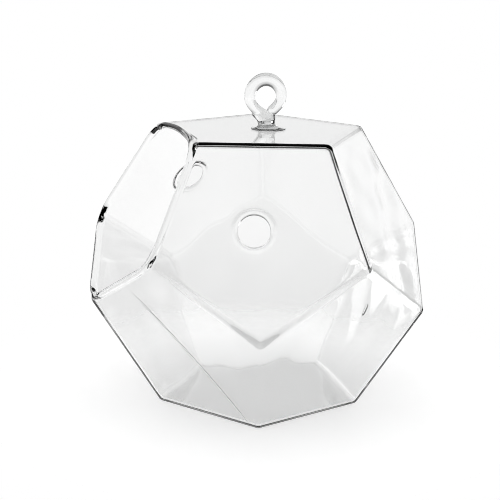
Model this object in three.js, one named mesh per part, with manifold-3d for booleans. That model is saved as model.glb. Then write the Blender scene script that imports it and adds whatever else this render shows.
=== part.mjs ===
// Hanging glass terrarium. A globe of clear glass is blown in a twelve-sided mould, so it has a flat floor,
// a flat top and ten slanted sides. One upper side is cut open as the mouth and its rim is melted to a bead.
// Two neighbouring sides are pierced with air holes. A solid glass loop is fused to the top on a flared foot.
// Millimetres, +Z up. The origin is the centre of the floor, and the mouth faces -Y.

import * as THREE from "three";
import { ConvexGeometry } from "three/addons/geometries/ConvexGeometry.js";
import { mergeVertices } from "three/addons/utils/BufferGeometryUtils.js";
import Module from "manifold-3d";

const wasm = await Module();
wasm.setup();

// Blown globe
const edgeLength = 52;
const wallThickness = 1.6;
const mouldEdgeRadius = 2.7;
const leastInsideRadius = 0.4;

// Mouth: the cut stands a little out of the mould's side, and is slightly out of square as hand work is
const mouthStandOut = 1.6;
const mouthTwist = 2.6;
const mouthLean = 1.2;
const rimCornerRadius = 13;
const rimBeadDiameter = 2.7;
const rimBeadProud = 0.4;
const rimBeadSink = 0.6;

// Air holes: one beside the mouth on each hand, each with a rolled collar
const airHoleDiameter = 12.6;
const collarThickness = 2.4;
const collarSink = 0.2;
const airHoleTowardMouth = 3;
const airHoles = [
  { azimuth: 72, upSlope: 1 },
  { azimuth: -72, upSlope: 3.6 },
];

// Foot of the loop: a gather of glass pressed onto the top, flared below and as wide as the neck above.
// It was pressed down a little behind the neck
const footDiameter = 14.4;
const footShift = 1.3;
const footHeight = 3.5;
const footLipHeight = 0.6;
const neckDiameter = 7;
const loopBack = 1.5;

// Hanging loop: a rod bent round from the neck over the crown, its end pressed back onto the neck
const rodDiameter = 4.4;
const crownDiameter = 5;
const ringWidth = 13.8;
const ringHeight = 14.8;
const ringLift = 0.2;
const ringShift = -0.5;
const ringDrawIn = 0.5;
const neckDomeHeight = 1.9;
const rodEndAngle = 140;

// How far a cutting shape runs past what it cuts
const cutClearance = 0.3;

// Facets
const patchSteps = 4;
const arcSteps = 8;
const beadSides = 10;
const holeSteps = 32;
const collarSides = 8;
const latheSteps = 36;
const flareSteps = 6;
const rodSides = 12;
const rodStepAngle = 10;

// Proportions of a regular twelve-sided solid, from its edge
const faceInRadius = (edgeLength / 2) / Math.tan(Math.PI / 5);
const globeInRadius = (edgeLength / 2) * Math.sqrt((25 + 11 * Math.sqrt(5)) / 10);
const sideElevation = THREE.MathUtils.radToDeg(Math.atan(1 / 2));
const turn = 360 / 5;
const globeCentre = new THREE.Vector3(0, 0, globeInRadius);
const topHeight = 2 * globeInRadius;

// Unit direction from degrees: azimuth runs from -Y towards +X, elevation is above level
function direction(azimuth, elevation) {
  const a = THREE.MathUtils.degToRad(azimuth);
  const e = THREE.MathUtils.degToRad(elevation);
  return new THREE.Vector3(Math.sin(a) * Math.cos(e), -Math.cos(a) * Math.cos(e), Math.sin(e));
}

// Axes on a side of the globe: out is square to it, right is level, up runs up the slope
function sideAxes(azimuth, elevation, standOut) {
  const out = direction(azimuth, elevation);
  const right = direction(azimuth + 90, 0);
  const up = new THREE.Vector3().crossVectors(out, right);
  const middle = globeCentre.clone().addScaledVector(out, globeInRadius + standOut);
  return { out, right, up, middle };
}

// Matrix that stands a shape drawn in X and Y on a side, with Z pointing out
function placeOn(axes, along, upSlope, out) {
  const spot = axes.middle.clone();
  spot.addScaledVector(axes.right, along);
  spot.addScaledVector(axes.up, upSlope);
  spot.addScaledVector(axes.out, out);
  return new THREE.Matrix4().makeBasis(axes.right, axes.up, axes.out).setPosition(spot);
}

// Closed mesh to solid, and back
function solidOf(geometry) {
  const bare = geometry.clone();
  bare.deleteAttribute("normal");
  bare.deleteAttribute("uv");
  const merged = mergeVertices(bare, 1e-4);
  const vertProperties = new Float32Array(merged.attributes.position.array);
  const triVerts = new Uint32Array(merged.index.array);
  return new wasm.Manifold(new wasm.Mesh({ numProp: 3, vertProperties, triVerts }));
}

function geometryOf(solid) {
  const mesh = solid.getMesh();
  const geometry = new THREE.BufferGeometry();
  geometry.setAttribute("position", new THREE.BufferAttribute(mesh.vertProperties, 3));
  geometry.setIndex(new THREE.BufferAttribute(mesh.triVerts, 1));
  return geometry;
}

// Point where three planes meet
function meet(a, b, c) {
  const bc = new THREE.Vector3().crossVectors(b.normal, c.normal);
  const ca = new THREE.Vector3().crossVectors(c.normal, a.normal);
  const ab = new THREE.Vector3().crossVectors(a.normal, b.normal);
  const sum = new THREE.Vector3();
  sum.addScaledVector(bc, -a.constant);
  sum.addScaledVector(ca, -b.constant);
  sum.addScaledVector(ab, -c.constant);
  return sum.divideScalar(a.normal.dot(bc));
}

// Round tube along a flat curve, with a radius for each point; closed on itself or with flat ends
function tube(points, radii, planeNormal, sides, closed) {
  const count = points.length;
  const positions = [];
  const indices = [];
  for (let i = 0; i < count; i++) {
    const before = points[closed ? (i + count - 1) % count : Math.max(i - 1, 0)];
    const after = points[closed ? (i + 1) % count : Math.min(i + 1, count - 1)];
    const tangent = new THREE.Vector3().subVectors(after, before).normalize();
    const across = new THREE.Vector3().crossVectors(planeNormal, tangent);
    for (let s = 0; s < sides; s++) {
      const angle = (2 * Math.PI * s) / sides;
      const point = points[i].clone();
      point.addScaledVector(across, radii[i] * Math.cos(angle));
      point.addScaledVector(planeNormal, radii[i] * Math.sin(angle));
      positions.push(point.x, point.y, point.z);
    }
  }
  for (let i = 0; i < (closed ? count : count - 1); i++) {
    const ring = i * sides;
    const nextRing = ((i + 1) % count) * sides;
    for (let s = 0; s < sides; s++) {
      const t = (s + 1) % sides;
      indices.push(ring + s, ring + t, nextRing + t, ring + s, nextRing + t, nextRing + s);
    }
  }
  if (!closed) {
    const last = (count - 1) * sides;
    for (let s = 1; s < sides - 1; s++) {
      indices.push(0, s + 1, s, last, last + s, last + s + 1);
    }
  }
  const geometry = new THREE.BufferGeometry();
  geometry.setAttribute("position", new THREE.Float32BufferAttribute(positions, 3));
  geometry.setIndex(indices);
  return geometry;
}

// Turned solid about a vertical axis that stands on the loop's centre, with heights counted from the top
function turned(profile) {
  const geometry = new THREE.LatheGeometry(profile, latheSteps);
  geometry.rotateX(Math.PI / 2);
  geometry.translate(0, loopBack, topHeight);
  return geometry;
}

// Planes of the mould: floor, top, five upper sides and five lower ones
const mouthAxes = sideAxes(mouthTwist, sideElevation + mouthLean, mouthStandOut);

function mouldPlane(azimuth, elevation) {
  const { out, middle } = sideAxes(azimuth, elevation, 0);
  return new THREE.Plane().setFromNormalAndCoplanarPoint(out, middle);
}

const floorPlane = new THREE.Plane(new THREE.Vector3(0, 0, -1), 0);
const topPlane = mouldPlane(0, 90);
const upperPlanes = [];
const lowerPlanes = [];
for (let k = 0; k < 5; k++) {
  upperPlanes.push(mouldPlane(turn * k, sideElevation));
  lowerPlanes.push(mouldPlane(turn * (k + 0.5), -sideElevation));
}
const mouthShoulder = mouthAxes.middle.clone().addScaledVector(mouthAxes.out, rimBeadSink);
upperPlanes[0] = new THREE.Plane().setFromNormalAndCoplanarPoint(mouthAxes.out, mouthShoulder);

// Twenty corners, each where three planes meet
const corners = [];
for (let k = 0; k < 5; k++) {
  const next = (k + 1) % 5;
  const previous = (k + 4) % 5;
  corners.push([topPlane, upperPlanes[k], upperPlanes[next]]);
  corners.push([upperPlanes[k], upperPlanes[next], lowerPlanes[k]]);
  corners.push([upperPlanes[k], lowerPlanes[previous], lowerPlanes[k]]);
  corners.push([floorPlane, lowerPlanes[previous], lowerPlanes[k]]);
}

// Globe with rounded edges: each corner, drawn in by inset and radius, carries a patch of a ball
function roundedGlobe(inset, radius) {
  const points = [];
  for (const planes of corners) {
    const drawnIn = planes.map((plane) => new THREE.Plane(plane.normal, plane.constant + inset + radius));
    const ballCentre = meet(...drawnIn);
    for (let i = 0; i <= patchSteps; i++) {
      for (let j = 0; j <= patchSteps - i; j++) {
        const ray = new THREE.Vector3();
        ray.addScaledVector(planes[0].normal, i);
        ray.addScaledVector(planes[1].normal, j);
        ray.addScaledVector(planes[2].normal, patchSteps - i - j);
        points.push(ballCentre.clone().addScaledVector(ray.normalize(), radius));
      }
    }
  }
  return new ConvexGeometry(points);
}

// Outline of the mouth, drawn in the plane of the cut: it runs in the walls of the five sides around it,
// anticlockwise from the top side, with generously rounded corners
function rimOutline(ontoMouth) {
  const cut = new THREE.Plane().setFromNormalAndCoplanarPoint(mouthAxes.out, mouthAxes.middle);
  const around = [topPlane, upperPlanes[4], lowerPlanes[4], lowerPlanes[0], upperPlanes[1]];
  const depth = wallThickness / 2 - rimBeadProud;
  const inWall = around.map((plane) => new THREE.Plane(plane.normal, plane.constant + depth));
  const ontoPage = ontoMouth.clone().invert();
  const sharp = inWall.map((plane, k) => meet(cut, plane, inWall[(k + 1) % 5]).applyMatrix4(ontoPage));
  const outline = new THREE.Shape();
  for (let k = 0; k < 5; k++) {
    const arriving = new THREE.Vector3().subVectors(sharp[k], sharp[(k + 4) % 5]).normalize();
    const leaving = new THREE.Vector3().subVectors(sharp[(k + 1) % 5], sharp[k]).normalize();
    const tangentLength = rimCornerRadius * Math.tan(arriving.angleTo(leaving) / 2);
    const x = sharp[k].x - arriving.x * tangentLength - arriving.y * rimCornerRadius;
    const y = sharp[k].y - arriving.y * tangentLength + arriving.x * rimCornerRadius;
    const start = Math.atan2(-arriving.x, arriving.y);
    const end = Math.atan2(-leaving.x, leaving.y);
    outline.absarc(x, y, rimCornerRadius, start, end, false);
  }
  return outline;
}

function glassBody() {
  const insideEdgeRadius = Math.max(mouldEdgeRadius - wallThickness, leastInsideRadius);
  let body = solidOf(roundedGlobe(0, mouldEdgeRadius));
  body = body.subtract(solidOf(roundedGlobe(wallThickness, insideEdgeRadius)));

  const ontoMouth = placeOn(mouthAxes, 0, 0, 0);
  const outline = rimOutline(ontoMouth);
  const cutBelow = wallThickness - rimBeadSink + cutClearance;
  const cutAbove = rimBeadSink + cutClearance;
  const mouthCut = new THREE.ExtrudeGeometry(outline, {
    depth: cutBelow + cutAbove,
    bevelEnabled: false,
    curveSegments: arcSteps,
  });
  mouthCut.applyMatrix4(placeOn(mouthAxes, 0, 0, -cutBelow));
  body = body.subtract(solidOf(mouthCut));

  const rim = outline.getPoints(arcSteps).map((p) => new THREE.Vector3(p.x, p.y, 0).applyMatrix4(ontoMouth));
  const rimRadii = rim.map(() => rimBeadDiameter / 2);
  body = body.add(solidOf(tube(rim, rimRadii, mouthAxes.out, beadSides, true)));

  const collarRadius = collarThickness / 2;
  const collarCentreRadius = airHoleDiameter / 2 + collarRadius;
  for (const { azimuth, upSlope } of airHoles) {
    const axes = sideAxes(azimuth, sideElevation, 0);
    const along = -Math.sign(azimuth) * airHoleTowardMouth;
    const pierceLength = 2 * (wallThickness + cutClearance);
    const pierce = new THREE.CylinderGeometry(collarCentreRadius, collarCentreRadius, pierceLength, holeSteps);
    pierce.rotateX(Math.PI / 2);
    pierce.applyMatrix4(placeOn(axes, along, upSlope, 0));
    body = body.subtract(solidOf(pierce));
    const collar = new THREE.TorusGeometry(collarCentreRadius, collarRadius, collarSides, holeSteps);
    collar.applyMatrix4(placeOn(axes, along, upSlope, -collarSink));
    body = body.add(solidOf(collar));
  }
  return geometryOf(body);
}

function loopFoot() {
  const footRadius = footDiameter / 2;
  const neckRadius = neckDiameter / 2;
  const flareWidth = footRadius - neckRadius;
  const flareHeight = footHeight - footLipHeight;
  const profile = new THREE.Path();
  profile.moveTo(0, 0);
  profile.lineTo(footRadius, 0);
  profile.absellipse(footRadius, footHeight, flareWidth, flareHeight, -Math.PI / 2, -Math.PI, true);
  profile.lineTo(0, footHeight);
  const foot = turned(profile.getPoints(flareSteps));
  const spots = foot.attributes.position;
  for (let i = 0; i < spots.count; i++) {
    const below = 1 - (spots.getZ(i) - topHeight) / footHeight;
    spots.setY(i, spots.getY(i) + footShift * below * below);
  }
  return geometryOf(solidOf(foot));
}

function hangingLoop() {
  const neckRadius = neckDiameter / 2;
  const ringBottom = footHeight + rodDiameter / 2 + ringLift;
  const ringCentre = new THREE.Vector3(0, loopBack + ringShift, topHeight + ringBottom + ringHeight / 2);

  const neck = new THREE.Path();
  neck.moveTo(0, footHeight);
  neck.lineTo(neckRadius, footHeight);
  neck.absellipse(0, ringBottom, neckRadius, neckDomeHeight, 0, Math.PI / 2, false);

  // The rod runs from the neck up the mouth side, over the crown and down, and is drawn in below its middle
  const points = [];
  const radii = [];
  for (let degrees = -180; degrees <= rodEndAngle; degrees += rodStepAngle) {
    const angle = THREE.MathUtils.degToRad(degrees);
    const height = Math.cos(angle);
    const drawIn = height < 0 ? 1 - ringDrawIn * height * height : 1;
    const y = (ringWidth / 2) * drawIn * Math.sin(angle);
    const z = (ringHeight / 2) * height;
    points.push(new THREE.Vector3(0, y, z).add(ringCentre));
    radii.push(rodDiameter / 2 + ((crownDiameter - rodDiameter) / 2) * Math.max(height, 0));
  }
  const rod = tube(points, radii, new THREE.Vector3(1, 0, 0), rodSides, false);
  const rodTip = new THREE.SphereGeometry(rodDiameter / 2, rodSides, rodSides / 2);
  const tipSpot = points[points.length - 1];
  rodTip.rotateX(Math.PI / 2);
  rodTip.translate(tipSpot.x, tipSpot.y, tipSpot.z);

  const stem = solidOf(turned(neck.getPoints(flareSteps)));
  return geometryOf(stem.add(solidOf(rod)).add(solidOf(rodTip)));
}

function glass(name, geometry, color) {
  const material = new THREE.MeshStandardMaterial({
    color,
    roughness: 0.02,
    metalness: 0,
    transparent: true,
    opacity: 0.35,
  });
  const mesh = new THREE.Mesh(geometry, material);
  mesh.name = name;
  return mesh;
}

const terrarium = new THREE.Group();
terrarium.add(glass("glass_body", glassBody(), 0xf2f5f4));
terrarium.add(glass("loop_foot", loopFoot(), 0xe8edec));
terrarium.add(glass("hanging_loop", hangingLoop(), 0xe8edec));

export default terrarium;
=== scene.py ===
# Looks of a hanging glass terrarium: a blown twelve-sided globe, and the foot and loop fused to its top.
# Shapes are worked out in millimetres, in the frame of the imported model, and put into the meshes in metres.

import bmesh
import bpy
import numpy as np
from mathutils import Matrix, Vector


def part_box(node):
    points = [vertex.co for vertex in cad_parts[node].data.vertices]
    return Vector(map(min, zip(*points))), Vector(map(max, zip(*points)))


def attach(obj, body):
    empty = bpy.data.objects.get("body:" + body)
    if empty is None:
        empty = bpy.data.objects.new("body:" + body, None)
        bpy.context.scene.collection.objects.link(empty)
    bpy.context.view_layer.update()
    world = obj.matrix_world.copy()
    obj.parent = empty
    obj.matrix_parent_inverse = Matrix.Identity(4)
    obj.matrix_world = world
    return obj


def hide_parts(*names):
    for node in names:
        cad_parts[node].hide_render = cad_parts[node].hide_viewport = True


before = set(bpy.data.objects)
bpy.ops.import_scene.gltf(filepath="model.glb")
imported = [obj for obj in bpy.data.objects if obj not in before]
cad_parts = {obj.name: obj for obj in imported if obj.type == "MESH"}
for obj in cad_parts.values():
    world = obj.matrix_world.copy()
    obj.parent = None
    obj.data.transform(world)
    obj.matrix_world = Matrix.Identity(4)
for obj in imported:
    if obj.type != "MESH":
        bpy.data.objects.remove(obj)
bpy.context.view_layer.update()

# Glass body
# A globe of clear glass blown in a twelve-sided mould. One upper side is cut open and its rim is melted to a
# bead that runs in the walls of the five sides around it, and two sides are pierced with rolled air holes.

MM = 0.001
globe_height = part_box("loop_foot")[0].z / MM
globe_radius = globe_height / 2
side_slope = np.degrees(np.arctan(0.5))
wall = 1.6
edge_radius = 2.7
inside_edge_radius = 2.6


def unit(vectors):
    """Vectors at length one."""
    return vectors / np.linalg.norm(vectors, axis=-1, keepdims=True)


def direction(azimuth, elevation):
    """Unit vector from degrees: azimuth runs from -Y towards +X, elevation is above level."""
    a, e = np.radians(azimuth), np.radians(elevation)
    return np.array([np.sin(a) * np.cos(e), -np.cos(a) * np.cos(e), np.sin(e)])


def smooth_step(x):
    """0 below x = 0, 1 above x = 1, and 3 x**2 - 2 x**3 between them."""
    x = np.clip(x, 0, 1)
    return x * x * (3 - 2 * x)


def swell(x):
    """Falls from 1 at x = 0 to 0 at x = 1 along half a wave, (1 + cos(pi x)) / 2."""
    return (1 + np.cos(np.pi * np.clip(x, 0, 1))) / 2


# The mould's twelve planes, as unit normals and heights from the origin: floor, top, five upper, five lower
FLOOR, TOP, MOUTH = 0, 1, 2
globe_centre = np.array([0, 0, globe_radius])
side_normals = np.array(
    [direction(0, -90), direction(0, 90)]
    + [direction(72 * k, side_slope) for k in range(5)]
    + [direction(72 * k + 36, -side_slope) for k in range(5)]
)
side_heights = side_normals @ globe_centre + globe_radius

# The mouth was cut by hand, a little outside the mould's side and a few degrees out of square
mouth_stand_out = 1.6
mouth_turn = 2.6
mouth_lean = 1.2
mouth_out = direction(mouth_turn, side_slope + mouth_lean)
mouth_right = direction(mouth_turn + 90, 0)
mouth_up = np.cross(mouth_out, mouth_right)
mouth_middle = globe_centre + mouth_out * (globe_radius + mouth_stand_out)
shoulder_rise = 0.6
side_normals[MOUTH] = mouth_out
side_heights[MOUTH] = mouth_out @ mouth_middle + shoulder_rise

# The mould's twenty corners, each named by its three sides, and then each side's corners anticlockwise
corner_sides = np.array(
    [(TOP, 2 + k, 2 + (k + 1) % 5) for k in range(5)]
    + [(2 + k, 2 + (k + 1) % 5, 7 + k) for k in range(5)]
    + [(2 + k, 7 + (k + 4) % 5, 7 + k) for k in range(5)]
    + [(FLOOR, 7 + (k + 4) % 5, 7 + k) for k in range(5)]
)


def corners_at(depth):
    """The twenty corners of the mould drawn in by depth: each solves n x = h - depth for its three sides."""
    heights = (side_heights - depth)[corner_sides]
    return np.linalg.solve(side_normals[corner_sides], heights[..., None])[..., 0]


def loop_of(side):
    """A side's corners, anticlockwise seen from outside."""
    found = np.flatnonzero((corner_sides == side).any(1))
    spots = corners_at(0)[found]
    from_middle = spots - spots.mean(0)
    across = unit(from_middle[0])
    beside = np.cross(side_normals[side], across)
    return found[np.argsort(np.arctan2(from_middle @ beside, from_middle @ across))]


side_loops = [loop_of(side) for side in range(12)]


def ball_spots(points, side, depth, radius):
    """The nearest place that the middle of a ball, rolled round inside the mould, can reach to each point
    of a sharp side: straight below the point, or on the edge or corner of the side drawn in by the ball's
    radius."""
    inner = corners_at(depth + radius)[side_loops[side]]
    along = np.roll(inner, -1, 0) - inner
    drawn_in = points - radius * side_normals[side]
    from_corner = drawn_in[..., None, :] - inner
    inside = (from_corner * np.cross(side_normals[side], along)).sum(-1) >= 0
    share = np.clip((from_corner * along).sum(-1) / (along * along).sum(-1), 0, 1)
    on_edges = inner + share[..., None] * along
    nearest = np.linalg.norm(drawn_in[..., None, :] - on_edges, axis=-1).argmin(-1)
    on_edge = np.take_along_axis(on_edges, nearest[..., None, None], -2)[..., 0, :]
    return np.where(inside.all(-1)[..., None], drawn_in, on_edge)


def rolled(points, side, depth, radius):
    """Rounds a side's edges: with c a point's ball spot, p goes to q = c + radius (p - c) / |p - c|."""
    balls = ball_spots(points, side, depth, radius)
    return balls + radius * unit(points - balls)


# Along half an edge the grid crowds towards the corner, where the glass turns
half_steps = 20
crowding = 2.3
to_corner = 1 - (1 - np.arange(half_steps + 1) / half_steps) ** crowding
along_side = np.concatenate([(1 - to_corner[::-1]) / 2, ((1 + to_corner) / 2)[1:-1]])
rim_room = 2.7
rim_room_on_top = 4.2


def drawn_back(side, depth, j, share):
    """How far the line between a side's corners j and j + 1 is drawn back, as vectors: nothing, but towards
    the mouth room (1 - |2 share - 1|**4), which leaves room for the rim."""
    loop = side_loops[side]
    here, following = corner_sides[loop[j]], corner_sides[loop[(j + 1) % 5]]
    if side == MOUTH or MOUTH not in here or MOUTH not in following:
        return np.zeros(np.shape(share) + (3,))
    spots = corners_at(depth)[loop]
    inward = unit(np.cross(side_normals[side], spots[(j + 1) % 5] - spots[j]))
    room = rim_room_on_top if side == TOP else rim_room
    return (room * (1 - np.abs(2 * share - 1) ** 4))[..., None] * inward


def side_outline(side, depth):
    """All round a side, anticlockwise: corner + share (next corner - corner), drawn back."""
    spots = corners_at(depth)[side_loops[side]]
    runs = []
    for j in range(5):
        straight = spots[j] + along_side[:, None] * (spots[(j + 1) % 5] - spots[j])
        runs.append(straight + drawn_back(side, depth, j, along_side))
    return np.concatenate(runs)


def kite_grids(side, depth):
    """Five grids that fill a side. Each spans, by a and b from 0 to 1, the kite between the side's middle,
    the middles of two edges and the corner between them: a two-way blend of those four points."""
    spots = corners_at(depth)[side_loops[side]]
    middle = spots.mean(0)
    a, b = to_corner[:, None, None], to_corner[None, :, None]
    grids = []
    for j in range(5):
        before, after = (spots[j - 1] + spots[j]) / 2, (spots[j] + spots[(j + 1) % 5]) / 2
        grid = (1 - a) * (1 - b) * middle + a * (1 - b) * after + (1 - a) * b * before + a * b * spots[j]
        grid = grid + a**3 * drawn_back(side, depth, j, (1 - b[..., 0]) / 2)
        grid = grid + b**3 * drawn_back(side, depth, (j + 4) % 5, (1 + a[..., 0]) / 2)
        grids.append(grid)
    return grids


# The section of the air holes and their rolled collars, and how far each hole stands from the middle of its
# side, to the right and upslope
hole_radius = 6.3
collar_roll = 1.2
collar_sink = 0.2
collar_reach = 9.5
collar_middle = hole_radius + collar_roll
air_holes = {3: (-3.0, 1.0), 6: (3.0, 3.6)}


def side_axes(side):
    """A side's level direction, up x normal at length one, and its upslope direction, normal x level."""
    right = unit(np.cross([0, 0, 1], side_normals[side]))
    return right, np.cross(side_normals[side], right)


def hole_axes(side):
    """The middle of a side's air hole on the outside of the glass, and the side's two axes."""
    along, upslope = air_holes[side]
    right, up = side_axes(side)
    middle = globe_centre + side_normals[side] * globe_radius + along * right + upslope * up
    return middle, right, up


def hole_rays(side):
    """Directions from the hole's middle to each point of the side's outline, level with the side."""
    middle, right, up = hole_axes(side)
    outward = side_outline(side, 0) - middle
    return unit((outward @ right)[:, None] * right + (outward @ up)[:, None] * up)


def pierced_grid(side, depth):
    """A grid from the collar's foot out to the side's outline, ray by ray: foot + share (outline - foot)."""
    middle, _, _ = hole_axes(side)
    start = middle - depth * side_normals[side] + collar_reach * hole_rays(side)
    return start + to_corner[:, None, None] * (side_outline(side, depth) - start)


def collar_grid(side):
    """The rolled collar round the hole, as rings from the outside to the inside: it swells up from the flat
    of the side to a roll of glass, goes round the roll by half a turn, and sinks back to the inner face."""
    middle, _, _ = hole_axes(side)
    fall = np.linspace(0, 1, 11)
    turn = np.linspace(np.pi / 2, 3 * np.pi / 2, 15)[1:-1]
    crest, base = collar_roll - collar_sink, -collar_roll - collar_sink
    reach = collar_middle + (collar_reach - collar_middle) * fall
    ring = np.concatenate([reach[::-1], collar_middle + collar_roll * np.cos(turn), reach])
    rise = np.concatenate([
        (crest * swell(fall))[::-1],
        collar_roll * np.sin(turn) - collar_sink,
        (base + wall) * swell(fall) - wall,
    ])
    return middle + ring[:, None, None] * hole_rays(side) + rise[:, None, None] * side_normals[side]


# Rim of the mouth
rim_corner_radius = 13.0
rim_bead_radius = 1.333
rim_proud = 0.4
rim_arch = 1.8
climb_angle = np.radians(50)
descent_angle = np.radians(60)


def rim_line():
    """The middle of the rim's bead and its outward direction, point by point with the outline of the
    mouth's side. It is a pentagon in the cut's plane, in the walls of the five sides around, with each
    corner an arc. Every stretch from arc middle to arc middle is walked by the same shares of its length as
    the side's edge, and the one under the top is arched by arch (4 share (1 - share))**1.5."""
    loop = side_loops[MOUTH]
    around = [next(s for s in corner_sides[loop[j]] if s != MOUTH and s in corner_sides[loop[(j + 1) % 5]])
              for j in range(5)]
    cut_height = side_heights[MOUTH] - shoulder_rise
    depth = wall / 2 - rim_proud
    sharp = []
    for j in range(5):
        sides = [around[j - 1], around[j]]
        heights = np.array([cut_height, *(side_heights[sides] - depth)])
        spot = np.linalg.solve(side_normals[[MOUTH, *sides]], heights) - mouth_middle
        sharp.append((spot @ mouth_right, spot @ mouth_up))
    sharp = np.array(sharp)
    heading = unit(np.roll(sharp, -1, 0) - sharp)
    left = np.stack([-heading[:, 1], heading[:, 0]], 1)
    turning = np.arccos(np.clip((heading * np.roll(heading, 1, 0)).sum(1), -1, 1))
    tangent = rim_corner_radius * np.tan(turning / 2)
    places, outward = [], []
    for j in range(5):
        k = (j + 1) % 5
        straight = np.linalg.norm(sharp[k] - sharp[j]) - tangent[j] - tangent[k]
        first, last = rim_corner_radius * turning[j] / 2, rim_corner_radius * turning[k] / 2
        walked = along_side * (first + straight + last)
        on_arcs = np.minimum(walked - first, 0) + np.maximum(walked - first - straight, 0)
        turned = on_arcs / rim_corner_radius
        ahead = np.clip(walked - first, 0, straight)
        out_now = -np.cos(turned)[:, None] * left[j] + np.sin(turned)[:, None] * heading[j]
        spot = sharp[j] + heading[j] * (tangent[j] + ahead)[:, None] + rim_corner_radius * (left[j] + out_now)
        if around[j] == TOP:
            spot[:, 1] += rim_arch * (4 * along_side * (1 - along_side)) ** 1.5
        places.append(spot)
        outward.append(out_now)
    places, outward = np.concatenate(places), np.concatenate(outward)
    onto = np.stack([mouth_right, mouth_up])
    return mouth_middle + places @ onto, outward @ onto


def rim_start(depth, radius):
    """Where the walls give way to the rim, point by point, with the surface's outward normals there: the
    rolled edges that the five sides around share with the mouth's side."""
    loop = side_loops[MOUTH]
    points, normals = [], []
    for j in range(5):
        pair = (loop[j], loop[(j + 1) % 5])
        side = next(s for s in corner_sides[pair[0]] if s != MOUTH and s in corner_sides[pair[1]])
        own = list(side_loops[side])
        i = own.index(pair[1])
        spots = corners_at(depth)[own]
        share = 1 - along_side
        straight = spots[i] + share[:, None] * (spots[(i + 1) % 5] - spots[i])
        sharp = straight + drawn_back(side, depth, i, share)
        points.append(rolled(sharp, side, depth, radius))
        normals.append(unit(sharp - ball_spots(sharp, side, depth, radius)))
    return np.concatenate(points), np.concatenate(normals)


def bend(start, start_way, end, end_way, shares):
    """Rows of points on cubic curves from start to end, which leave and arrive by the given ways. Each
    curve's two handles are 0.4 of its straight length."""
    reach = 0.4 * np.linalg.norm(end - start, axis=-1, keepdims=True)
    first, second = start + reach * start_way, end - reach * end_way
    t = shares[:, None, None]
    return (1 - t) ** 3 * start + 3 * t * (1 - t) ** 2 * first + 3 * t * t * (1 - t) * second + t**3 * end


def rim_grid():
    """The rim in rows from the outer wall to the inner one: up the wall and onto the bead, round the bead
    past the opening, and back down the inner wall."""
    line, outward = rim_line()
    outer, outer_normal = rim_start(0, edge_radius)
    inner, inner_normal = rim_start(wall, inside_edge_radius)

    def bead(angle):
        spoke = np.cos(angle)[..., None] * outward + np.sin(angle)[..., None] * mouth_out
        way = -np.sin(angle)[..., None] * outward + np.cos(angle)[..., None] * mouth_out
        return line + rim_bead_radius * spoke, way

    def seen_from_bead(points):
        offset = points - line
        return np.arctan2(offset @ mouth_out, (offset * outward).sum(-1))

    def level(way, normal):
        return unit(way - (way * normal).sum(-1, keepdims=True) * normal)

    first = seen_from_bead(outer) + climb_angle
    last = seen_from_bead(inner) + 2 * np.pi - descent_angle
    on_bead, leaving = bead(first)
    off_bead, returning = bead(last)
    up_wall = bend(outer, level(on_bead - outer, outer_normal), on_bead, leaving, np.linspace(0, 1, 11))
    down_wall = bend(off_bead, returning, inner, level(inner - off_bead, inner_normal), np.linspace(0, 1, 11))
    shares = np.linspace(0, 1, 19)[1:-1, None]
    round_bead, _ = bead(first + shares * (last - first))
    return np.concatenate([up_wall, round_bead, down_wall])


# The mould makes the outside of the wall flat, but its inside is free: slow waves run over it. They are
# held still within some millimetres of the rim, the air holes' middles, the floor and the top, and swell up
# beyond that
wave_height = 0.08
wave_lengths = (14, 19, 26, 34, 45)
still_at_rim = 5
still_at_hole = 10
still_at_flat = 2
swell_up = 8
swell_up_from_flat = 6


def waves(points):
    """A sum of sine waves through space in scattered directions, each of them length / 30 high."""
    dice = np.random.default_rng(23)
    total = 0
    for length in wave_lengths:
        way = unit(dice.normal(size=3))
        phase = dice.uniform(0, 2 * np.pi)
        total = total + (length / 30) * np.sin(2 * np.pi * (points @ way) / length + phase)
    return total


def waved(points):
    """Points moved out from the globe's middle by freedom times height times waves. The freedom dies away
    where the mould or the tools held the glass."""
    below_rim = side_heights[MOUTH] - points @ side_normals[MOUTH]
    freedom = smooth_step((below_rim - still_at_rim) / swell_up)
    for side in air_holes:
        from_hole = np.linalg.norm(points - hole_axes(side)[0], axis=-1)
        freedom = freedom * smooth_step((from_hole - still_at_hole) / swell_up)
    for from_flat in (points[..., 2], globe_height - points[..., 2]):
        freedom = freedom * smooth_step((from_flat - still_at_flat) / swell_up_from_flat)
    return points + (freedom * wave_height * waves(points))[..., None] * unit(points - globe_centre)


# Where the mould closed, it left a thin raised seam down one lower side. Its ends are given level with the
# side and up it, from the side's middle, and it bows a little to the right between them
SEAM_SIDE = 7
seam_ends = np.array([(-17.0, 28.7), (22.4, -34.3)])
seam_bow = 2.0
seam_radius = 0.36


def seam_grid():
    """Rings round the seam, fading at both ends: start + t (end - start) + 4 bow t (1 - t) to the right."""
    t = np.linspace(0, 1, 61)[:, None]
    spots = (1 - t) * seam_ends[0] + t * seam_ends[1] + 4 * seam_bow * t * (1 - t) * np.array([1, 0])
    sharp = globe_centre + globe_radius * side_normals[SEAM_SIDE] + spots @ np.stack(side_axes(SEAM_SIDE))
    balls = ball_spots(sharp, SEAM_SIDE, 0, edge_radius)
    out = unit(sharp - balls)
    path = balls + edge_radius * out
    across = np.cross(unit(np.gradient(path, axis=0)), out)
    around = np.linspace(0, 2 * np.pi, 12, endpoint=False)
    spoke = np.cos(around)[:, None] * out[:, None, :] + np.sin(around)[:, None] * across[:, None, :]
    return path[:, None, :] + (seam_radius * smooth_step(10 * t * (1 - t)))[..., None] * spoke


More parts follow.
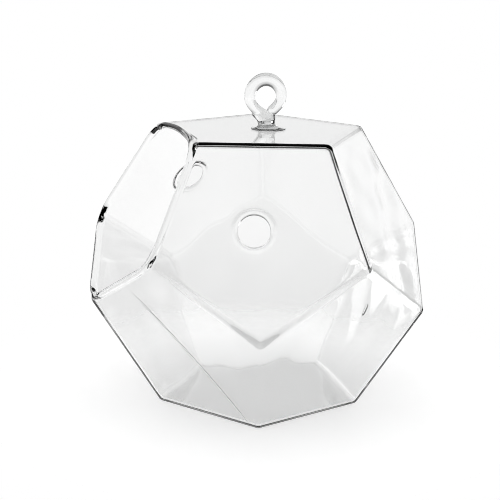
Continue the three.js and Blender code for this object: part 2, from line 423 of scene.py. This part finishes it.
# A small air bubble, drawn long as the glass was blown, is shut in the wall of the next lower side. Its
# place and its half-lengths are given level with the side, up it and, for the last, through the wall
BUBBLE_SIDE = 8
bubble_middle = np.array([6.4, 22.3])
bubble_half = np.array([0.8, 3.0, 0.65])


def bubble_grid():
    """Rings round the bubble, from its lower end to its upper one: its half-lengths times (cos rise cos turn,
    sin rise, cos rise sin turn), in the middle of the wall."""
    axes = np.stack([*side_axes(BUBBLE_SIDE), side_normals[BUBBLE_SIDE]])
    middle = globe_centre + (globe_radius - wall / 2) * axes[2] + bubble_middle @ axes[:2]
    rise = np.linspace(-np.pi / 2, np.pi / 2, 17)[:, None]
    turn = np.linspace(0, 2 * np.pi, 24, endpoint=False)
    ball = np.stack([np.cos(rise) * np.cos(turn), np.sin(rise) + 0 * turn, np.cos(rise) * np.sin(turn)], -1)
    return middle + (ball * bubble_half) @ axes


def add_grid(points, vertices, faces, closed=False):
    """Puts a grid of points and its four-sided faces into the lists; a closed grid joins its last column to
    its first one."""
    rows, columns = points.shape[:2]
    start = sum(len(v) for v in vertices)
    number = start + np.arange(rows * columns).reshape(rows, columns)
    if closed:
        number = np.concatenate([number, number[:, :1]], 1)
    quads = np.stack([number[:-1, :-1], number[:-1, 1:], number[1:, 1:], number[1:, :-1]], -1).reshape(-1, 4)
    vertices.append(points.reshape(-1, 3))
    faces.append(quads)


def piece_from(name, vertices, faces, hollow=0):
    """A mesh object from lists of grids, with shared edges merged and shaded smooth. Its faces point out of
    the glass, which for the last faces, as many as hollow says, means into a bubble."""
    mesh = bpy.data.meshes.new(name)
    quads = np.concatenate(faces)
    mesh.from_pydata((np.concatenate(vertices) * MM).tolist(), [], quads.tolist())
    shape = bmesh.new()
    shape.from_mesh(mesh)
    bmesh.ops.remove_doubles(shape, verts=shape.verts, dist=0.002 * MM)
    bmesh.ops.recalc_face_normals(shape, faces=shape.faces)
    shape.faces.ensure_lookup_table()
    bmesh.ops.reverse_faces(shape, faces=shape.faces[len(shape.faces) - hollow:])
    shape.to_mesh(mesh)
    shape.free()
    mesh.polygons.foreach_set("use_smooth", np.ones(len(mesh.polygons), bool))
    piece = bpy.data.objects.new(name, mesh)
    bpy.context.scene.collection.objects.link(piece)
    return piece


body_points, body_faces = [], []
for side in range(12):
    for depth, radius in ((0, edge_radius), (wall, inside_edge_radius)):
        if side == MOUTH:
            continue
        pierced = side in air_holes
        for sharp in [pierced_grid(side, depth)] if pierced else kite_grids(side, depth):
            grid = rolled(sharp, side, depth, radius)
            add_grid(waved(grid) if depth else grid, body_points, body_faces, closed=pierced)
for side in air_holes:
    add_grid(collar_grid(side), body_points, body_faces, closed=True)
add_grid(rim_grid(), body_points, body_faces, closed=True)
add_grid(seam_grid(), body_points, body_faces, closed=True)
add_grid(bubble_grid(), body_points, body_faces, closed=True)
glass_body = piece_from("blown_globe", body_points, body_faces, hollow=len(body_faces[-1]))


glass_ior = 1.47
shadow_share = 0.85


def clear_glass(name, tint):
    """Clear borosilicate glass. Each face lets a share of the room's light pass, so its shadow is faint."""
    material = bpy.data.materials.new(name)
    material.use_nodes = True
    tree = material.node_tree
    shader = tree.nodes["Principled BSDF"]
    shader.inputs["Base Color"].default_value = (*tint, 1)
    shader.inputs["Roughness"].default_value = 0.0
    shader.inputs["IOR"].default_value = glass_ior
    shader.inputs["Transmission Weight"].default_value = 1.0
    path = tree.nodes.new("ShaderNodeLightPath")
    let_through = tree.nodes.new("ShaderNodeBsdfTransparent")
    let_through.inputs["Color"].default_value = (shadow_share, shadow_share, shadow_share, 1)
    mix = tree.nodes.new("ShaderNodeMixShader")
    tree.links.new(path.outputs["Is Shadow Ray"], mix.inputs[0])
    tree.links.new(shader.outputs[0], mix.inputs[1])
    tree.links.new(let_through.outputs[0], mix.inputs[2])
    tree.links.new(mix.outputs[0], tree.nodes["Material Output"].inputs["Surface"])
    return material


glass_body.data.materials.append(clear_glass("blown glass", (0.995, 0.997, 0.996)))
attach(glass_body, "root")
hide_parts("glass_body")

# Foot of the loop
# A small gather of hot glass pressed onto the flat top. It spreads to a thin round lip and narrows to a neck.

foot_low, foot_high = [np.array(corner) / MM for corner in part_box("loop_foot")]
foot_radius = (foot_high[0] - foot_low[0]) / 2
foot_height = foot_high[2] - foot_low[2]
neck_radius = 3.5
neck_middle = 1.5
foot_shift = (foot_low[1] + foot_high[1]) / 2 - neck_middle
foot_lip = 0.3
foot_rise = 2.3
foot_melt = 0.15


def turned_grid(radii, heights, middles, turns=72):
    """Rings about an upright axis: x = r sin t, y = middle - r cos t, z = height, with t round one turn."""
    t = np.linspace(0, 2 * np.pi, turns, endpoint=False)
    x = radii[:, None] * np.sin(t)
    y = middles[:, None] - radii[:, None] * np.cos(t)
    return np.stack([x, y, np.broadcast_to(heights[:, None], x.shape)], -1)


# The profile from the middle of the underside: flat, half a turn round the lip, a quarter of an ellipse up
# to the neck, and flat again on top
flare = np.linspace(0, np.pi / 2, 25)
lip = np.linspace(-np.pi / 2, np.pi / 2, 9)
foot_radii = np.concatenate([
    [0.0, foot_radius / 2],
    foot_radius - foot_lip / 2 * (1 - np.cos(lip)),
    (foot_radius - foot_lip / 2 - (foot_radius - foot_lip / 2 - neck_radius) * np.sin(flare))[1:],
    [neck_radius, neck_radius / 2, 0.0],
])
foot_heights = np.concatenate([
    [0.0, 0.0],
    foot_lip / 2 * (1 + np.sin(lip)),
    (foot_lip + (foot_rise - foot_lip) * (1 - np.cos(flare)))[1:],
    [foot_height, foot_height, foot_height],
])
foot_middles = neck_middle + foot_shift * (1 - foot_heights / foot_height) ** 2
foot_heights = foot_low[2] - foot_melt + foot_heights * (1 + foot_melt / foot_height)
foot_points, foot_faces = [], []
add_grid(turned_grid(foot_radii, foot_heights, foot_middles), foot_points, foot_faces, closed=True)
loop_foot = piece_from("flared_foot", foot_points, foot_faces)
solid_glass = clear_glass("solid glass", (0.99, 0.993, 0.992))
loop_foot.data.materials.append(solid_glass)
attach(loop_foot, "root")
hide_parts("loop_foot")

# Hanging loop
# A solid glass rod drawn up from the neck, bent round into an eye, its end pressed back onto the neck.

rod_radius = 2.2
crown_radius = 2.75
ring_half_width = 6.9
ring_half_height = 7.27
ring_lift = 0.2
ring_set_forward = 0.5
bottom_draw_in = 0.5

# The rod's path is a ring, y = half width sin angle and z = half height cos angle, whose lower half is
# drawn in by the share bottom_draw_in cos(angle)**2. It starts at the bottom and ends short of it again, and
# the rod thickens towards the crown
ring_bottom = foot_height + rod_radius + ring_lift
ring_middle = np.array([0, neck_middle - ring_set_forward, foot_low[2] + ring_bottom + ring_half_height])
rod_angle = np.radians(np.linspace(-180, 140, 97))
up_share = np.cos(rod_angle)
draw_in = np.where(up_share < 0, 1 - bottom_draw_in * up_share**2, 1)
rod_path = ring_middle + np.stack([
    0 * rod_angle,
    ring_half_width * draw_in * np.sin(rod_angle),
    ring_half_height * up_share,
], 1)
rod_radii = rod_radius + (crown_radius - rod_radius) * np.maximum(up_share, 0)


def rod_grid(path, radii, turns=32):
    """Rings round a path that lies in the plane X = 0, with a round cap drawn in over the last ring."""
    heading = unit(np.gradient(path, axis=0))
    across = np.stack([0 * heading[:, 0], -heading[:, 2], heading[:, 1]], 1)
    cap = np.linspace(0, np.pi / 2, 9)[1:]
    path = np.concatenate([path, path[-1] + (radii[-1] * np.sin(cap))[:, None] * heading[-1]])
    across = np.concatenate([across, np.repeat(across[-1:], len(cap), 0)])
    radii = np.concatenate([[0.0], radii, radii[-1] * np.cos(cap)])
    path, across = np.concatenate([path[:1], path]), np.concatenate([across[:1], across])
    t = np.linspace(0, 2 * np.pi, turns, endpoint=False)
    spoke = np.cos(t)[:, None] * across[:, None, :] + np.sin(t)[:, None] * np.array([1.0, 0, 0])
    return path[:, None, :] + radii[:, None, None] * spoke


# The gather between the foot and the ring is an upright stack of ovals. Each row gives one's height above the
# globe's top, its reach to the mouth side, its reach to the back, and half its thickness
gather = np.array([
    [2.0, 3.5, 3.5, 3.5],
    [3.0, 3.7, 3.6, 3.3],
    [4.0, 4.4, 3.9, 3.0],
    [5.0, 5.5, 3.9, 2.7],
    [6.0, 6.4, 3.4, 2.4],
    [7.0, 6.2, 2.4, 2.0],
    [7.7, 4.0, 1.0, 1.2],
])
rise = np.linspace(gather[0, 0], gather[-1, 0], 40)
to_mouth, to_back, thick = [np.interp(rise, gather[:, 0], gather[:, k]) for k in (1, 2, 3)]
t = np.linspace(0, 2 * np.pi, 72, endpoint=False)
gather_y = neck_middle + ((to_back - to_mouth) / 2)[:, None] + ((to_back + to_mouth) / 2)[:, None] * np.cos(t)
gather_x = thick[:, None] * np.sin(t)
gather_z = np.broadcast_to((foot_low[2] + rise)[:, None], gather_x.shape)
gather_grid = np.stack([gather_x, gather_y, gather_z], -1)
ends = gather_grid[[0, -1]].mean(1, keepdims=True) + 0 * gather_grid[[0, -1]]
gather_grid = np.concatenate([ends[:1], gather_grid, ends[1:]])
loop_points, loop_faces = [], []
add_grid(gather_grid, loop_points, loop_faces, closed=True)
add_grid(rod_grid(rod_path, rod_radii), loop_points, loop_faces, closed=True)
hanging_loop = piece_from("glass_loop", loop_points, loop_faces)
melt = hanging_loop.modifiers.new("melted together", "REMESH")
melt.mode = "VOXEL"
melt.voxel_size = 0.22 * MM
melt.use_smooth_shade = True
even = hanging_loop.modifiers.new("fire polish", "SMOOTH")
even.factor = 0.5
even.iterations = 12
hanging_loop.data.materials.append(solid_glass)
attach(hanging_loop, "root")
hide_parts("hanging_loop")

# Floor and light
# The globe stands on white paper in a white room, so that its clear faces read as pale from every side. The
# dark parts of the room, gaps between screens and the upper walls beside the backdrop, are seen only by rays
# that the glass reflected, on its faces or inside it, and they draw its edges.


def math_node(tree, operation, first, second=0.0):
    """A Math node whose inputs are sockets or numbers; its result."""
    node = tree.nodes.new("ShaderNodeMath")
    node.operation = operation
    for socket, value in zip(node.inputs, (first, second)):
        if isinstance(value, bpy.types.NodeSocket):
            tree.links.new(value, socket)
        else:
            socket.default_value = value
    return node.outputs[0]


def mix_node(tree, share, first, second):
    """A Mix node for sockets or numbers: first where share is 0, second where it is 1."""
    node = tree.nodes.new("ShaderNodeMix")
    for socket, value in zip((node.inputs[0], node.inputs[2], node.inputs[3]), (share, first, second)):
        if isinstance(value, bpy.types.NodeSocket):
            tree.links.new(value, socket)
        else:
            socket.default_value = value
    return node.outputs[0]


def ramp_node(tree, value, limits, results, smooth=True):
    """A Map Range: the first result at the first limit, the second at the second, and an even or a smooth
    passage between them."""
    node = tree.nodes.new("ShaderNodeMapRange")
    node.interpolation_type = "SMOOTHSTEP" if smooth else "LINEAR"
    tree.links.new(value, node.inputs["Value"])
    for name, number in zip(("From Min", "From Max", "To Min", "To Max"), (*limits, *results)):
        node.inputs[name].default_value = number
    return node.outputs["Result"]


def bands(tree, value, stops):
    """A grey ramp over value, through the given (position, brightness) stops."""
    ramp = tree.nodes.new("ShaderNodeValToRGB")
    ramp.color_ramp.interpolation = "EASE"
    elements = ramp.color_ramp.elements
    for place, _ in stops[1:-1]:
        elements.new(place)
    for element, (place, grey) in zip(elements, stops):
        element.position = place
        element.color = (grey, grey, grey, 1)
    tree.links.new(value, ramp.inputs[0])
    return ramp.outputs[0]


def glass_rays(tree, path):
    """1 for rays that the glass last reflected or let through, else 0."""
    return math_node(tree, "MAXIMUM", path["Is Glossy Ray"], path["Is Transmission Ray"])


# The paper glows a little to the camera and through the glass, and fades out round the globe
table_gap = 0.05
table_radius = 300
table_fade = (75, 140)
table_white = 0.97
table_glow = 0.14
bpy.ops.mesh.primitive_circle_add(
    vertices=128, radius=table_radius * MM, fill_type="NGON", location=(0, 0, -table_gap * MM))
table = bpy.context.object
table.name = "table"
white = bpy.data.materials.new("white table")
white.use_nodes = True
tree = white.node_tree
paper = tree.nodes["Principled BSDF"]
paper.inputs["Base Color"].default_value = (table_white, table_white, table_white, 1)
paper.inputs["Roughness"].default_value = 1.0
paper.inputs["Specular IOR Level"].default_value = 0.0
paper.inputs["Emission Color"].default_value = (1, 1, 1, 1)
path = tree.nodes.new("ShaderNodeLightPath").outputs
to_eye = math_node(tree, "MAXIMUM", path["Is Camera Ray"], glass_rays(tree, path))
tree.links.new(math_node(tree, "MULTIPLY", to_eye, table_glow), paper.inputs["Emission Strength"])
spot = tree.nodes.new("ShaderNodeVectorMath")
spot.operation = "LENGTH"
tree.links.new(tree.nodes.new("ShaderNodeTexCoord").outputs["Object"], spot.inputs[0])
edge = tree.nodes.new("ShaderNodeMixShader")
tree.links.new(ramp_node(tree, spot.outputs["Value"], np.array(table_fade) * MM, (0, 1)), edge.inputs[0])
tree.links.new(paper.outputs[0], edge.inputs[1])
tree.links.new(tree.nodes.new("ShaderNodeBsdfTransparent").outputs[0], edge.inputs[2])
tree.links.new(edge.outputs[0], tree.nodes["Material Output"].inputs["Surface"])
table.data.materials.append(white)

# The room, with its angles in degrees. Its backdrop stands behind the globe as the camera sees it, and its
# gaps every 90 degrees. Its brightness runs over heights from straight down, 0, to straight up, 1
camera_azimuth = 71.5
camera_elevation = 15.35
gap_azimuth = 22.5
gap_edge = (9.5, 13)
backdrop_edge = (34, 46)
upper_wall_foot = (-10, -9.3)
dark = 0.03
room_heights = [
    (0.0, 0.6), (0.25, 0.85), (0.33, 0.9), (0.385, 1.0), (0.5, 1.0),
    (0.63, 0.68), (0.7, 0.3), (0.78, 0.08), (1.0, 0.03),
]
lamp_way = direction(298, 16)
lamp_edge = (8.2, 7.2)
lamp_strength = 3

world = bpy.data.worlds.new("white room")
bpy.context.scene.world = world
world.use_nodes = True
tree = world.node_tree
background = tree.nodes["Background"]
background.inputs["Color"].default_value = (1, 1, 1, 1)
way = tree.nodes.new("ShaderNodeTexCoord").outputs["Generated"]
parts = tree.nodes.new("ShaderNodeSeparateXYZ")
tree.links.new(way, parts.inputs[0])
path = tree.nodes.new("ShaderNodeLightPath").outputs

# How far a ray's azimuth lies from the nearest gap's middle, and from the backdrop's
azimuth = math_node(tree, "ARCTAN2", parts.outputs["X"], math_node(tree, "MULTIPLY", parts.outputs["Y"], -1))
past_gap = math_node(tree, "SUBTRACT", azimuth, np.radians(gap_azimuth))
from_gap = math_node(tree, "PINGPONG", past_gap, np.radians(90 / 2))
screens = ramp_node(tree, from_gap, np.radians(gap_edge), (dark, 1))
past_backdrop = math_node(tree, "SUBTRACT", azimuth, np.radians(camera_azimuth + 180))
from_backdrop = math_node(tree, "PINGPONG", past_backdrop, np.pi)
backdrop = ramp_node(tree, from_backdrop, np.radians(backdrop_edge), (1, dark))

# Reflected rays see the screens up to the foot of the upper walls, and the backdrop above it
above = ramp_node(tree, parts.outputs["Z"], np.sin(np.radians(upper_wall_foot)), (0, 1))
reflected = math_node(tree, "MINIMUM", path["Glossy Depth"], 1.0)
flags = mix_node(tree, reflected, 1.0, mix_node(tree, above, screens, backdrop))
sky = bands(tree, ramp_node(tree, parts.outputs["Z"], (-1, 1), (0, 1), smooth=False), room_heights)

lamp_dot = tree.nodes.new("ShaderNodeVectorMath")
lamp_dot.operation = "DOT_PRODUCT"
tree.links.new(way, lamp_dot.inputs[0])
lamp_dot.inputs[1].default_value = lamp_way
lamp = ramp_node(tree, lamp_dot.outputs["Value"], np.cos(np.radians(lamp_edge)), (0, lamp_strength))
seen = math_node(tree, "ADD", math_node(tree, "MULTIPLY", flags, sky), lamp)

# Only the glass sees the screens and the lamp; the camera and the paper see a plain white room
from_paper = math_node(tree, "MINIMUM", path["Diffuse Depth"], 1.0)
through_glass = math_node(tree, "SUBTRACT", glass_rays(tree, path), from_paper)
through_glass.node.use_clamp = True
tree.links.new(mix_node(tree, through_glass, 1.0, seen), background.inputs["Strength"])

# The camera, and where its picture, 500 pixels wide, shows the globe's centre
camera_roll = 1.045
camera_distance = 565.0
camera_lens = 95.4
picture_size = 500
globe_pixel = (260.22, 263.3)
bpy.ops.object.camera_add()
camera = bpy.context.object
back = direction(camera_azimuth, camera_elevation)
level = direction(camera_azimuth + 90, 0)
rise = np.cross(back, level)
roll = np.radians(camera_roll)
right = np.cos(roll) * level + np.sin(roll) * rise
upward = np.cross(back, right)
place = (globe_centre + camera_distance * back) * MM
camera.matrix_world = Matrix([*np.column_stack([right, upward, back, place]), (0, 0, 0, 1)])
camera.data.lens = camera_lens
camera.data.shift_x = (picture_size / 2 - globe_pixel[0]) / picture_size
camera.data.shift_y = (globe_pixel[1] - picture_size / 2) / picture_size
scene = bpy.context.scene
scene.camera = camera
scene.view_settings.view_transform = "Standard"
scene.cycles.filter_width = 0.9
scene.cycles.max_bounces = 14
scene.cycles.transmission_bounces = 14
scene.cycles.glossy_bounces = 16
scene.cycles.transparent_max_bounces = 32
